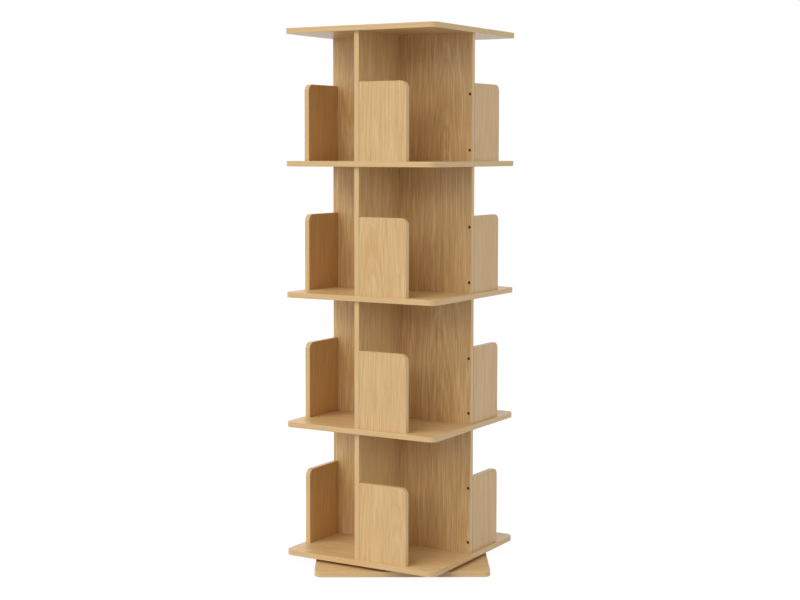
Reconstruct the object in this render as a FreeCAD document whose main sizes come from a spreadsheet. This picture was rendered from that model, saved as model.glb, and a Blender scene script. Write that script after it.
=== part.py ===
import FreeCAD, Part
import os
import Sketcher

# A rotating bookcase of four tiers. Five square boards with rounded corners are kept apart by
# four uprights a tier, set as a pinwheel: the inner end of each upright butts the face of the
# next. Every upright carries a low bookend at its outer end. The tower turns on a flat ball
# bearing over a square base.
#
# Millimetres and degrees. Z is the axis that the tower turns about, z = 0 is the floor, and the
# sides of the tower are parallel to X and Y. The base stands turned under it.

QUARTER_TURN = 90
SIDES = ("right", "back", "left", "front")
TIERS = ("tier1", "tier2", "tier3", "tier4")
SHELVES = ("bottom_shelf", "tier2_shelf", "tier3_shelf", "tier4_shelf", "top_board")

SIZES = (
    ("shelf_side", 488, "side of the square shelves and of the top board"),
    ("shelf_corner", 22, "corner radius of the shelves and of the top board"),
    ("shelf_thickness", 15, "thickness of the shelves and of the top board"),
    ("tier_height", 356, "clear height between two shelves"),
    ("edge_round", 0.8, "rounding of the banded edges"),
    ("upright_thickness", 15, "thickness of the uprights"),
    ("upright_inset", 9, "from the edge of a shelf in to the outer end of an upright"),
    ("bookend_length", 151, "from the face of an upright to the free end of its bookend"),
    ("bookend_height", 218, "height of a bookend"),
    ("bookend_thickness", 15, "thickness of a bookend"),
    ("bookend_corner", 20, "radius of a bookend's free upper corner"),
    ("base_side", 490, "side of the square base board"),
    ("base_corner", 20, "corner radius of the base board"),
    ("base_thickness", 15, "thickness of the base board"),
    ("base_turn", 31, "angle that the base stands turned under the tower"),
    ("pad_radius", 15, "radius of a floor pad"),
    ("pad_thickness", 1.5, "thickness of a floor pad"),
    ("pad_inset", 40, "from two sides of the base board in to a pad's centre"),
    ("screw_radius", 2.5, "radius of a furniture screw's shank"),
    ("screw_length", 48, "length of a furniture screw, its head included"),
    ("screw_head_radius", 4.25, "radius of a furniture screw's flat head"),
    ("screw_head_height", 2.2, "height of the cone under the flat head"),
    ("screw_point", 4, "length of a furniture screw's point"),
    ("socket_radius", 1.8, "radius across the corners of the hexagon socket"),
    ("socket_depth", 2, "depth of the hexagon socket"),
    ("screw_clearance", 0.05, "between a screw and its hole, on the radius"),
    ("bookend_screw_inset", 31, "from a bookend's lower and upper edge to its screws"),
    ("upright_screw_inner", 90, "from the tower's axis to an upright's inner screw"),
    ("upright_screw_outer", 40, "from an upright's outer end to its outer screw"),
    ("dowel_radius", 4, "radius of a beech dowel"),
    ("dowel_length", 30, "length of a beech dowel"),
    ("dowel_in_face", 10, "length of a dowel that sits in the face of a board"),
    ("dowel_clearance", 0.05, "between a dowel and its hole, on the radius"),
    ("dowel_end_gap", 0.5, "left past each end of a dowel, for glue"),
    ("shelf_dowel_inner", 55, "from the tower's axis to an upright's inner top dowel"),
    ("shelf_dowel_outer", 70, "from an upright's outer end to its outer top dowel"),
    ("core_dowel_height", 80, "height over the shelf of the lower dowel in an upright's end"),
    ("core_dowel_spacing", 180, "between the two dowels in an upright's inner end"),
    ("core_dowel_stagger", 20, "step that lets the dowels of neighbouring uprights pass"),
    ("plate_side", 150, "side of the two square bearing plates"),
    ("plate_corner", 12, "corner radius of a bearing plate"),
    ("plate_thickness", 1.5, "thickness of a bearing plate"),
    ("race_radius", 48, "from the tower's axis to the centres of the balls"),
    ("race_depth", 0.4, "depth of the groove that the balls run in, in each plate"),
    ("ball_radius", 2.5, "radius of a bearing ball"),
    ("ball_clearance", 0.1, "between a ball and its races"),
    ("cage_width", 14, "width of the flat ring that spaces the balls"),
    ("cage_thickness", 1, "thickness of that ring"),
    ("cage_clearance", 0.3, "between a ball and its hole in the ring, on the radius"),
    ("rivet_radius", 6, "radius of the hollow rivet in the bearing's middle"),
    ("rivet_bore_radius", 4.5, "radius of the hole through that rivet"),
    ("rivet_flange_radius", 9, "radius of the rivet's two flanges"),
    ("rivet_flange_thickness", 1, "thickness of the rivet's two flanges"),
    ("rivet_clearance", 0.08, "between the rivet and its holes in the plates, on the radius"),
    ("rivet_flange_gap", 0.1, "between the upper flange and the turning plate"),
    ("flange_recess_gap", 0.5, "round a rivet flange, in the recess of its board"),
    ("plate_screw_radius", 2, "radius of a bearing screw's shank"),
    ("plate_screw_length", 11, "length of a bearing screw under its head"),
    ("plate_screw_head_radius", 3.8, "radius of a bearing screw's low round head"),
    ("plate_screw_head_height", 1.4, "height of that head"),
    ("plate_screw_inset", 12, "from two sides of a bearing plate in to a screw"),
)

UPRIGHT_KINDS = 2
BALL_COUNT = 16
HEXAGON = 6

# Lengths that follow from the sizes above, as spreadsheet expressions.
UPRIGHT_LENGTH = "(Sizes.shelf_side / 2 - Sizes.upright_inset)"
UPRIGHT_FRONT = "(-Sizes.upright_thickness)"
UPRIGHT_MIDDLE = "(-Sizes.upright_thickness / 2)"
HALF_UPRIGHT = "(Sizes.upright_thickness / 2)"
BOOKEND_MIDDLE = f"({UPRIGHT_LENGTH} - Sizes.bookend_thickness / 2)"
BASE_TOP = "(Sizes.pad_thickness + Sizes.base_thickness)"
PLATE_GAP = "(2 * (Sizes.ball_radius + Sizes.ball_clearance - Sizes.race_depth))"
BEARING_HEIGHT = f"(2 * Sizes.plate_thickness + {PLATE_GAP})"
LOWER_PLATE_FACE = f"({BASE_TOP} + Sizes.plate_thickness)"
UPPER_PLATE_FACE = f"({LOWER_PLATE_FACE} + {PLATE_GAP})"
BALL_HEIGHT = f"({LOWER_PLATE_FACE} + {PLATE_GAP} / 2)"
TOWER_BOTTOM = f"({BASE_TOP} + {BEARING_HEIGHT})"
TIER_PITCH = "(Sizes.tier_height + Sizes.shelf_thickness)"
SCREW_HOLE_RADIUS = "(Sizes.screw_radius + Sizes.screw_clearance)"
SCREW_GRIP = "(Sizes.screw_length + Sizes.screw_clearance)"
DOWEL_HOLE_RADIUS = "(Sizes.dowel_radius + Sizes.dowel_clearance)"
DOWEL_FACE_DEPTH = "(Sizes.dowel_in_face + Sizes.dowel_end_gap)"
DOWEL_IN_END = "(Sizes.dowel_length - Sizes.dowel_in_face)"
DOWEL_END_DEPTH = f"({DOWEL_IN_END} + Sizes.dowel_end_gap)"
OUTER_SCREW = f"({UPRIGHT_LENGTH} - Sizes.upright_screw_outer)"
OUTER_DOWEL = f"({UPRIGHT_LENGTH} - Sizes.shelf_dowel_outer)"
PAD_PLACE = "(Sizes.base_side / 2 - Sizes.pad_inset)"
PLATE_SCREW_PLACE = "(Sizes.plate_side / 2 - Sizes.plate_screw_inset)"
PLATE_SCREW_REACH = "(Sizes.plate_screw_length - Sizes.plate_thickness + Sizes.screw_clearance)"
RIVET_HOLE_RADIUS = "(Sizes.rivet_radius + Sizes.rivet_clearance)"
RECESS_RADIUS = "(Sizes.rivet_flange_radius + Sizes.flange_recess_gap)"
LOWER_RECESS_DEPTH = "(Sizes.rivet_flange_thickness + Sizes.flange_recess_gap)"
UPPER_RECESS_DEPTH = f"({LOWER_RECESS_DEPTH} + Sizes.rivet_flange_gap)"

X = FreeCAD.Vector(1, 0, 0)
Y = FreeCAD.Vector(0, 1, 0)
Z = FreeCAD.Vector(0, 0, 1)
TOUCH = 1e-4  # two lengths closer than this are the same

doc = FreeCAD.newDocument("rotating_bookcase")
sheet = doc.addObject("Spreadsheet::Sheet", "Sizes")
nodes = []


def fill_sheet():
    """Writes each size, its alias and its meaning in a row of the spreadsheet."""
    for row, (alias, value, meaning) in enumerate(SIZES, start=1):
        sheet.set(f"A{row}", meaning)
        sheet.set(f"B{row}", str(value))
        sheet.setAlias(f"B{row}", alias)
    doc.recompute()


def value_of(expression):
    """The number that an expression gives now."""
    return float(sheet.evalExpression(expression))


def bind(item, **expressions):
    """Ties properties of a document object to spreadsheet expressions."""
    for name, expression in expressions.items():
        item.setExpression(name, str(expression))


def place(item, x=0, y=0, z=0, along=Z):
    """Puts a feature at bound coordinates, with its own Z axis along a given direction."""
    item.Placement = FreeCAD.Placement(FreeCAD.Vector(), FreeCAD.Rotation(Z, along))
    for axis, expression in (("x", x), ("y", y), ("z", z)):
        item.setExpression(f"Placement.Base.{axis}", str(expression))


def new_node(label, turn=0, z=0):
    """A body that becomes one node, turned about Z and lifted by bound amounts."""
    body = doc.addObject("PartDesign::Body", label)
    body.Label = label
    body.setExpression("Placement.Rotation.Angle", f"{turn} * 1 deg")
    body.setExpression("Placement.Base.z", str(z))
    nodes.append(body)
    return body


def new_clone(source, label, turn=0, z=0):
    """A node with the shape of another body."""
    body = new_node(label, turn, z)
    clone = doc.addObject("PartDesign::FeatureBase", f"{label}_clone")
    clone.BaseFeature = source
    body.Group = [clone]
    body.Tip = clone
    return body


def origin_item(body, role):
    """An axis or a plane of a body's own origin."""
    return next(item for item in body.Origin.OriginFeatures if item.Role == role)


def polygon(body, name, plane, corners, offset=("0", "0", "0")):
    """A sketch of straight sides, each corner held at bound distances from the origin.

    The offset is in the sketch's own directions, along its X, its Y and its normal.
    """
    sketch = body.newObject("Sketcher::SketchObject", f"{body.Name}_{name}")
    sketch.AttachmentSupport = (origin_item(body, plane), [""])
    sketch.MapMode = "FlatFace"
    for axis, expression in zip("xyz", offset):
        sketch.setExpression(f"AttachmentOffset.Base.{axis}", expression)
    points = [FreeCAD.Vector(value_of(x), value_of(y), 0) for x, y in corners]
    for start, end in zip(points, points[1:] + points[:1]):
        sketch.addGeometry(Part.LineSegment(start, end))
    for side, (corner, point) in enumerate(zip(corners, points)):
        following = (side + 1) % len(corners)
        sketch.addConstraint(Sketcher.Constraint("Coincident", side, 2, following, 1))
        for kind, expression, value in zip(("DistanceX", "DistanceY"), corner, point):
            held = sketch.addConstraint(Sketcher.Constraint(kind, -1, 1, side, 1, value))
            sketch.renameConstraint(held, f"{kind}{side}")
            sketch.setExpression(f"Constraints.{kind}{side}", expression)
    return sketch


def rectangle(left, low, width, height):
    """The four corners of a rectangle, as expressions."""
    right, top = f"({left}) + {width}", f"({low}) + {height}"
    return [(left, low), (right, low), (right, top), (left, top)]


def pad(body, sketch, thickness):
    """Pads a sketch to a bound thickness."""
    board = body.newObject("PartDesign::Pad", f"{body.Name}_board")
    board.Profile = sketch
    bind(board, Length=thickness)
    doc.recompute()


def turned(body, name, profile, x, y, z, along):
    """Revolves a profile of (radius, distance along the axis) corners, about Z or about Y."""
    plane, offset = ("XZ_Plane", (x, z, f"-({y})")) if along == Z else ("XY_Plane", (x, y, z))
    sketch = polygon(body, f"{name}_profile", plane, profile, offset)
    solid = body.newObject("PartDesign::Revolution", f"{body.Name}_{name}")
    solid.Profile = sketch
    solid.ReferenceAxis = (sketch, ["V_Axis"])
    solid.Angle = 360


def square_pad(body, side, thickness):
    """Pads a square that is centred on the axis."""
    outline = rectangle(f"-{side} / 2", f"-{side} / 2", side, side)
    pad(body, polygon(body, "outline", "XY_Plane", outline), thickness)


def fillet(body, name, radius, wanted):
    """Rounds the edges of the body's tip that a test picks."""
    base = body.Tip
    picked = [f"Edge{n}" for n, edge in enumerate(base.Shape.Edges, start=1) if wanted(edge)]
    rounding = body.newObject("PartDesign::Fillet", f"{body.Name}_{name}")
    rounding.Base = (base, picked)
    bind(rounding, Radius=radius)
    doc.recompute()


def runs_along(edge, direction):
    """Whether an edge is a straight line along a direction."""
    return isinstance(edge.Curve, Part.Line) and abs(edge.Curve.Direction.dot(direction)) > 1 - TOUCH


def lies_at(edge, axis, level):
    """Whether a whole edge lies at one level of the x, y or z axis."""
    box = edge.BoundBox
    return all(abs(getattr(box, axis + end) - level) < TOUCH for end in ("Min", "Max"))


def round_slab(body, corner, thickness):
    """Rounds the upright corners of a flat board, then the rims of its two faces."""
    fillet(body, "corners", corner, lambda edge: runs_along(edge, Z))
    top = value_of(thickness)

    def is_rim(edge):
        return lies_at(edge, "Z", 0) or lies_at(edge, "Z", top)

    fillet(body, "rims", "Sizes.edge_round", is_rim)


def feature(body, kind, name):
    """A primitive feature of a body."""
    return body.newObject(f"PartDesign::{kind}", f"{body.Name}_{name}")


def drill(body, name, radius, depth, x, y, z, along=Z):
    """Cuts a round hole from a point into the body."""
    hole = feature(body, "SubtractiveCylinder", name)
    bind(hole, Radius=radius, Height=depth)
    place(hole, x, y, z, along)
    return hole


def drill_for_screw(body, name, x, y, z, along=Z):
    """Cuts a screw's clearance hole, and the countersink that its head fills."""
    hole = drill(body, name, SCREW_HOLE_RADIUS, SCREW_GRIP, x, y, z, along)
    sink = feature(body, "SubtractiveCone", f"{name}_sink")
    head_radius = "(Sizes.screw_head_radius + Sizes.screw_clearance)"
    bind(sink, Radius1=head_radius, Radius2=SCREW_HOLE_RADIUS, Height="Sizes.screw_head_height")
    place(sink, x, y, z, along)
    return [hole, sink]


def copies(body, name, originals, count):
    """Repeats features about the body's own Z axis, or the whole body where none is given."""
    pattern = body.newObject("PartDesign::PolarPattern", f"{body.Name}_{name}")
    if originals:
        pattern.Originals = originals
    else:
        pattern.TransformMode = "Whole shape"
    pattern.Axis = (origin_item(body, "Z_Axis"), [""])
    pattern.Angle = 360
    pattern.Occurrences = count
    body.Tip = pattern


def furniture_screw(body, name, x, y, z, along=Z):
    """Adds a countersunk screw with a hexagon socket, its head at a point."""
    profile = [
        ("0", "0"),
        ("Sizes.screw_head_radius", "0"),
        ("Sizes.screw_radius", "Sizes.screw_head_height"),
        ("Sizes.screw_radius", "Sizes.screw_length - Sizes.screw_point"),
        ("0", "Sizes.screw_length"),
    ]
    turned(body, name, profile, x, y, z, along)
    socket = feature(body, "SubtractivePrism", f"{name}_socket")
    socket.Polygon = HEXAGON
    bind(socket, Circumradius="Sizes.socket_radius", Height="Sizes.socket_depth")
    place(socket, x, y, z, along)


def dowel(body, name, x, y, z, along=Z):
    """Adds a plain round dowel from a point."""
    peg = feature(body, "AdditiveCylinder", name)
    bind(peg, Radius="Sizes.dowel_radius", Height="Sizes.dowel_length")
    place(peg, x, y, z, along)
    return peg


def shelf_height(level):
    """Height of a shelf's underside."""
    return f"{TOWER_BOTTOM} + {level} * {TIER_PITCH}"


def tier_floor(level):
    """Height of the face that a tier's uprights stand on."""
    return f"{shelf_height(level)} + Sizes.shelf_thickness"


def foot_screw_distances():
    """Distances along an upright, from the axis, of the two screws in its lower end."""
    return ("inner", "Sizes.upright_screw_inner"), ("outer", OUTER_SCREW)


def top_dowel_distances():
    """Distances along an upright, from the axis, of the two dowels in its top end."""
    return ("inner", "Sizes.shelf_dowel_inner"), ("outer", OUTER_DOWEL)


def bookend_screw_heights():
    """Heights over the shelf of the two screws that hold a bookend."""
    low = "Sizes.bookend_screw_inset"
    return ("low", low), ("high", f"(Sizes.bookend_height - {low})")


def core_dowel_heights(staggered):
    """Heights over the shelf of the two dowels in an upright's inner end."""
    low = "Sizes.core_dowel_height"
    if staggered:
        low = f"({low} + Sizes.core_dowel_stagger)"
    return ("low", low), ("high", f"({low} + Sizes.core_dowel_spacing)")


def make_upright(label, turn, staggered):
    """An upright of the first tier: it runs out from the axis, with its back face on y = 0.

    Its inner end takes two dowels, and its back face the two of the next upright. Its top end
    takes two dowels of the shelf above, and its lower end two screws through the shelf below.
    """
    body = new_node(label, turn, tier_floor(0))
    outline = rectangle("0", "0", UPRIGHT_LENGTH, "Sizes.tier_height")
    pad(body, polygon(body, "outline", "XZ_Plane", outline), "Sizes.upright_thickness")
    outer_end = value_of(UPRIGHT_LENGTH)

    def is_outer_rim(edge):
        return runs_along(edge, Z) and lies_at(edge, "X", outer_end)

    def dowel_hole(name, depth, x, y, z, along):
        drill(body, name, DOWEL_HOLE_RADIUS, depth, x, y, z, along)

    fillet(body, "rims", "Sizes.edge_round", is_outer_rim)
    for name, height in core_dowel_heights(staggered):
        dowel_hole(f"end_dowel_{name}", DOWEL_END_DEPTH, "0", UPRIGHT_MIDDLE, height, X)
    for name, height in core_dowel_heights(not staggered):
        dowel_hole(f"face_dowel_{name}", DOWEL_FACE_DEPTH, HALF_UPRIGHT, "0", height, -Y)
    top = "Sizes.tier_height"
    for name, distance in top_dowel_distances():
        dowel_hole(f"top_dowel_{name}", DOWEL_END_DEPTH, distance, UPRIGHT_MIDDLE, top, -Z)
    for name, distance in foot_screw_distances():
        depth = f"({SCREW_GRIP} - Sizes.shelf_thickness)"
        drill(body, f"foot_screw_{name}", SCREW_HOLE_RADIUS, depth, distance, UPRIGHT_MIDDLE, "0")
    for name, height in bookend_screw_heights():
        drill_for_screw(body, f"bookend_screw_{name}", BOOKEND_MIDDLE, UPRIGHT_FRONT, height, Y)
    doc.recompute()
    return body


def make_bookend(label):
    """A low board that stands out square from an upright's back face, flush with its outer end."""
    body = new_node(label, z=tier_floor(0))
    inner_face = f"{UPRIGHT_LENGTH} - Sizes.bookend_thickness"
    outline = rectangle("0", "0", "Sizes.bookend_length", "Sizes.bookend_height")
    sketch = polygon(body, "outline", "YZ_Plane", outline, ("0", "0", inner_face))
    pad(body, sketch, "Sizes.bookend_thickness")
    free_end = value_of("Sizes.bookend_length")
    top = value_of("Sizes.bookend_height")

    def is_free_corner(edge):
        return runs_along(edge, X) and lies_at(edge, "Y", free_end) and lies_at(edge, "Z", top)

    def is_free_rim(edge):
        touches_board = lies_at(edge, "Y", 0) or lies_at(edge, "Z", 0)
        return not runs_along(edge, X) and not touches_board

    fillet(body, "corner", "Sizes.bookend_corner", is_free_corner)
    fillet(body, "rims", "Sizes.edge_round", is_free_rim)
    for name, height in bookend_screw_heights():
        depth = f"({SCREW_GRIP} - Sizes.upright_thickness)"
        drill(body, f"screw_{name}", SCREW_HOLE_RADIUS, depth, BOOKEND_MIDDLE, "0", height, Y)
    doc.recompute()
    return body


def make_shelf(label, level, has_screws, has_dowels):
    """A square board. Screws pass up through it, and dowels enter it from below."""
    body = new_node(label, z=shelf_height(level))
    square_pad(body, "Sizes.shelf_side", "Sizes.shelf_thickness")
    round_slab(body, "Sizes.shelf_corner", "Sizes.shelf_thickness")
    holes = []
    for name, distance in foot_screw_distances() if has_screws else ():
        holes += drill_for_screw(body, f"screw_{name}", distance, UPRIGHT_MIDDLE, "0")
    for name, distance in top_dowel_distances() if has_dowels else ():
        size = DOWEL_HOLE_RADIUS, DOWEL_FACE_DEPTH
        holes.append(drill(body, f"dowel_{name}", *size, distance, UPRIGHT_MIDDLE, "0"))
    copies(body, "holes", holes, len(SIDES))
    doc.recompute()
    return body


def make_screw_group(label, spots):
    """Furniture screws at given spots, repeated on the four sides of the first tier."""
    body = new_node(label, z=tier_floor(0))
    for spot in spots:
        furniture_screw(body, *spot)
    copies(body, "sides", [], len(SIDES))
    doc.recompute()
    return body


def make_dowels(label):
    """The dowels of the first tier: into the shelf above, and between neighbouring uprights."""
    body = new_node(label, z=tier_floor(0))
    start = f"(Sizes.tier_height - {DOWEL_IN_END})"
    for name, distance in top_dowel_distances():
        peg = dowel(body, f"top_{name}", distance, UPRIGHT_MIDDLE, start)
        copies(body, f"top_{name}_pegs", [peg], len(SIDES))
    in_face = "-Sizes.dowel_in_face"
    opposite_sides = len(SIDES) // 2
    for name, height in core_dowel_heights(False):
        peg = dowel(body, f"core_{name}", in_face, UPRIGHT_MIDDLE, height, X)
        copies(body, f"core_{name}_pegs", [peg], opposite_sides)
    for name, height in core_dowel_heights(True):
        peg = dowel(body, f"staggered_{name}", HALF_UPRIGHT, in_face, height, Y)
        copies(body, f"staggered_{name}_pegs", [peg], opposite_sides)
    doc.recompute()
    return body


def make_shelves():
    """The four shelves and the top board."""
    bottom, middle, *others, top = SHELVES
    board = make_shelf(bottom, 0, has_screws=True, has_dowels=False)
    drill_for_bearing(board, "0", Z, UPPER_RECESS_DEPTH)
    source = make_shelf(middle, 1, has_screws=True, has_dowels=True)
    for level, label in enumerate(others, start=2):
        new_clone(source, label, z=shelf_height(level))
    make_shelf(top, len(TIERS), has_screws=False, has_dowels=True)


def make_sides():
    """The uprights and bookends of the first tier; two kinds of upright alternate round the core."""
    first = TIERS[0]
    models = {}
    for number, side in enumerate(SIDES):
        turn = number * QUARTER_TURN
        upright, bookend = f"{side}_upright", f"{side}_bookend"
        if number < UPRIGHT_KINDS:
            models[upright] = make_upright(f"{first}_{upright}", turn, staggered=number == 1)
        else:
            source = models[f"{SIDES[number - UPRIGHT_KINDS]}_upright"]
            models[upright] = new_clone(source, f"{first}_{upright}", turn, tier_floor(0))
        if number == 0:
            models[bookend] = make_bookend(f"{first}_{bookend}")
        else:
            source = models[f"{SIDES[0]}_bookend"]
            models[bookend] = new_clone(source, f"{first}_{bookend}", turn, tier_floor(0))
    return models


def make_fasteners():
    """The screws and dowels of the first tier."""
    first = TIERS[0]
    bookend_spots = [
        (name, BOOKEND_MIDDLE, UPRIGHT_FRONT, height, Y) for name, height in bookend_screw_heights()
    ]
    shelf_underside = "-Sizes.shelf_thickness"
    foot_spots = [
        (name, distance, UPRIGHT_MIDDLE, shelf_underside, Z) for name, distance in foot_screw_distances()
    ]
    return {
        "bookend_screws": make_screw_group(f"{first}_bookend_screws", bookend_spots),
        "upright_screws": make_screw_group(f"{first}_upright_screws", foot_spots),
        "dowels": make_dowels(f"{first}_dowels"),
    }


def make_tiers():
    """The boards and fasteners of the first tier, and copies of them on each shelf above."""
    sides = make_sides()
    fasteners = make_fasteners()
    for level, tier in enumerate(TIERS[1:], start=1):
        for name, model in sides.items():
            number = SIDES.index(name.split("_")[0])
            new_clone(model, f"{tier}_{name}", number * QUARTER_TURN, tier_floor(level))
        for name, model in fasteners.items():
            new_clone(model, f"{tier}_{name}", z=tier_floor(level))


def plate_screw_hole(body, level, inward, depth):
    """Drills one corner hole for a bearing screw."""
    radius = "(Sizes.plate_screw_radius + Sizes.screw_clearance)"
    return drill(body, "plate_screw", radius, depth, PLATE_SCREW_PLACE, PLATE_SCREW_PLACE, level, inward)


def drill_for_bearing(body, level, inward, recess_depth):
    """Drills a board's recess for a rivet flange, and its holes for the screws of a plate."""
    drill(body, "rivet_recess", RECESS_RADIUS, recess_depth, "0", "0", level, inward)
    hole = plate_screw_hole(body, level, inward, PLATE_SCREW_REACH)
    copies(body, "plate_screws", [hole], len(SIDES))
    doc.recompute()


def make_base():
    """The square board that the tower turns over, and its floor pads."""
    board = new_node("base_board", "Sizes.base_turn", "Sizes.pad_thickness")
    square_pad(board, "Sizes.base_side", "Sizes.base_thickness")
    round_slab(board, "Sizes.base_corner", "Sizes.base_thickness")
    drill_for_bearing(board, "Sizes.base_thickness", -Z, LOWER_RECESS_DEPTH)

    pads = new_node("floor_pads", "Sizes.base_turn")
    first = feature(pads, "AdditiveCylinder", "first")
    bind(first, Radius="Sizes.pad_radius", Height="Sizes.pad_thickness")
    place(first, PAD_PLACE, PAD_PLACE)
    copies(pads, "corners", [first], len(SIDES))
    doc.recompute()


def make_plate(label, turn, height, ball_level):
    """A square steel plate with a groove for the balls and a hole for the rivet."""
    body = new_node(label, turn, height)
    square_pad(body, "Sizes.plate_side", "Sizes.plate_thickness")
    fillet(body, "corners", "Sizes.plate_corner", lambda edge: runs_along(edge, Z))
    drill(body, "rivet_hole", RIVET_HOLE_RADIUS, "Sizes.plate_thickness", "0", "0", "0")
    groove = feature(body, "SubtractiveTorus", "race")
    bind(groove, Radius1="Sizes.race_radius", Radius2="Sizes.ball_radius + Sizes.ball_clearance")
    place(groove, z=ball_level)
    hole = plate_screw_hole(body, "0", Z, "Sizes.plate_thickness")
    copies(body, "screw_holes", [hole], len(SIDES))
    doc.recompute()


def make_plate_screws(label, turn, height, side):
    """Four low round-head screws, their heads on a face of a plate; side is 1 up, -1 down."""
    body = new_node(label, turn, height)
    profile = [
        ("0", f"{-side} * Sizes.plate_screw_head_height"),
        ("Sizes.plate_screw_head_radius", f"{-side} * Sizes.plate_screw_head_height"),
        ("Sizes.plate_screw_head_radius", "0"),
        ("Sizes.plate_screw_radius", "0"),
        ("Sizes.plate_screw_radius", f"{side} * Sizes.plate_screw_length"),
        ("0", f"{side} * Sizes.plate_screw_length"),
    ]
    turned(body, "screw", profile, PLATE_SCREW_PLACE, PLATE_SCREW_PLACE, "0", Z)
    copies(body, "screws", [], len(SIDES))
    doc.recompute()


def make_rivet():
    """The hollow rivet that holds the two plates together, with a flange past each of them."""
    body = new_node("bearing_rivet", z=BASE_TOP)
    top = f"({BEARING_HEIGHT} + Sizes.rivet_flange_gap)"
    bore, shank, rim = "Sizes.rivet_bore_radius", "Sizes.rivet_radius", "Sizes.rivet_flange_radius"
    lowest, highest = "-Sizes.rivet_flange_thickness", f"{top} + Sizes.rivet_flange_thickness"
    lower_half = [(bore, lowest), (rim, lowest), (rim, "0"), (shank, "0")]
    upper_half = [(shank, top), (rim, top), (rim, highest), (bore, highest)]
    turned(body, "rivet", lower_half + upper_half, "0", "0", "0", Z)
    doc.recompute()


def make_balls():
    """The balls, and the flat ring that spaces them."""
    cage = new_node("bearing_cage", z=BALL_HEIGHT)
    under = "-Sizes.cage_thickness / 2"
    inside = "Sizes.race_radius - Sizes.cage_width / 2"
    section = rectangle(inside, under, "Sizes.cage_width", "Sizes.cage_thickness")
    turned(cage, "ring", section, "0", "0", "0", Z)
    pocket = "Sizes.ball_radius + Sizes.cage_clearance"
    hole = drill(cage, "pocket", pocket, "Sizes.cage_thickness", "Sizes.race_radius", "0", under)
    copies(cage, "pockets", [hole], BALL_COUNT)

    balls = new_node("bearing_balls", z=BALL_HEIGHT)
    ball = feature(balls, "AdditiveSphere", "ball")
    bind(ball, Radius="Sizes.ball_radius")
    place(ball, "Sizes.race_radius")
    copies(balls, "ring", [ball], BALL_COUNT)
    doc.recompute()


def make_bearing():
    """Two plates, screwed to the base and to the tower, that turn on a ring of balls."""
    up_to_balls = f"Sizes.plate_thickness + {PLATE_GAP} / 2"
    down_to_balls = f"-{PLATE_GAP} / 2"
    make_plate("bearing_lower_plate", "Sizes.base_turn", BASE_TOP, up_to_balls)
    make_plate("bearing_upper_plate", 0, UPPER_PLATE_FACE, down_to_balls)
    make_plate_screws("bearing_lower_screws", "Sizes.base_turn", LOWER_PLATE_FACE, -1)
    make_plate_screws("bearing_upper_screws", 0, UPPER_PLATE_FACE, 1)
    make_rivet()
    make_balls()


def check_model():
    """Stops on a failed object, a cut that removes nothing, or a node without a valid shape."""
    for item in doc.Objects:
        if {"Invalid", "Error"} & set(item.State):
            raise RuntimeError(f"{item.Name} failed: {item.State}")
        if "Subtractive" in item.TypeId and item.Shape.Volume > item.BaseFeature.Shape.Volume - TOUCH:
            raise RuntimeError(f"{item.Name} cuts nothing")
    for body in nodes:
        if body.Shape.isNull() or not body.Shape.isValid() or not body.Shape.Solids:
            raise RuntimeError(f"{body.Label} has no valid shape")


def export_nodes():
    """Writes each node's shape to a STEP file that has its name."""
    os.makedirs("parts", exist_ok=True)
    for body in nodes:
        body.Shape.exportStep(f"parts/{body.Label}.step")
        print(body.Label, len(body.Shape.Solids), "solids,", round(body.Shape.Volume / 1000, 2), "cm3")


fill_sheet()
make_base()
make_bearing()
make_shelves()
make_tiers()
doc.recompute()
check_model()
export_nodes()
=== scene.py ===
"""A revolving bookcase in light oak laminate: its finishes, its small hardware and the studio round it.

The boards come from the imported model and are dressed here. Screws and dowels are rebuilt with the
threads, sockets and flutes that the real ones have. Lengths in the classes are millimetres, and
lengths handed to Blender are metres.
"""

import logging
import math
import random
from collections.abc import Callable
from dataclasses import dataclass, field
from enum import Enum
from typing import Any

import bpy
from mathutils import Euler, Matrix, Vector

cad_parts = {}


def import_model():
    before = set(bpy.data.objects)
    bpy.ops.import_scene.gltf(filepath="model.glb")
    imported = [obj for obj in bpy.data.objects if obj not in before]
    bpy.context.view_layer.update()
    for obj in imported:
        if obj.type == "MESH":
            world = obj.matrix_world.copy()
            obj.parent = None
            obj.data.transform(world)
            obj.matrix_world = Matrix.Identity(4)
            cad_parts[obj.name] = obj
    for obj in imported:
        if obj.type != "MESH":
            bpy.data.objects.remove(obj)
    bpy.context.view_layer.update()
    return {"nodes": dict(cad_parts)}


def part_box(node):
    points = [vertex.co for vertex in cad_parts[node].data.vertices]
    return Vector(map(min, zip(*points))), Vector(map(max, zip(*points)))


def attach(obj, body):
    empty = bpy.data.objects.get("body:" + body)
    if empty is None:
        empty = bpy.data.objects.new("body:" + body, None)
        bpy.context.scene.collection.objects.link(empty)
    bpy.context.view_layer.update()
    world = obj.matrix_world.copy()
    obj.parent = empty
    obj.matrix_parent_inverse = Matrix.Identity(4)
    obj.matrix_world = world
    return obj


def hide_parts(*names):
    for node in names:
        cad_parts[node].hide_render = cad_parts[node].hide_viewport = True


LOG = logging.getLogger("revolving_bookcase")
MM = 0.001
NO_JOINT = 10_000.0  # a place across a board that no board reaches
SHARP_ANGLE = 35.0  # an edge is crisp where its faces turn by more than this, in degrees
WIDEST_BAND = 0.2  # points of a fastener count as its widest within this of the widest one
HEAD_OFFSET = 1.0  # the widest points are a head's if they lie further from the middle than this
WHITE = "#FFFFFF"

SIDES = ("right", "back", "left", "front")
TIERS = ("tier1", "tier2", "tier3", "tier4")
SHELVES = ("bottom_shelf", "tier2_shelf", "tier3_shelf", "tier4_shelf", "top_board")

Piece = bpy.types.Object
Material = bpy.types.Material
Tree = bpy.types.NodeTree
Socket = bpy.types.NodeSocket
Radius = Callable[[float], float]


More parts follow.
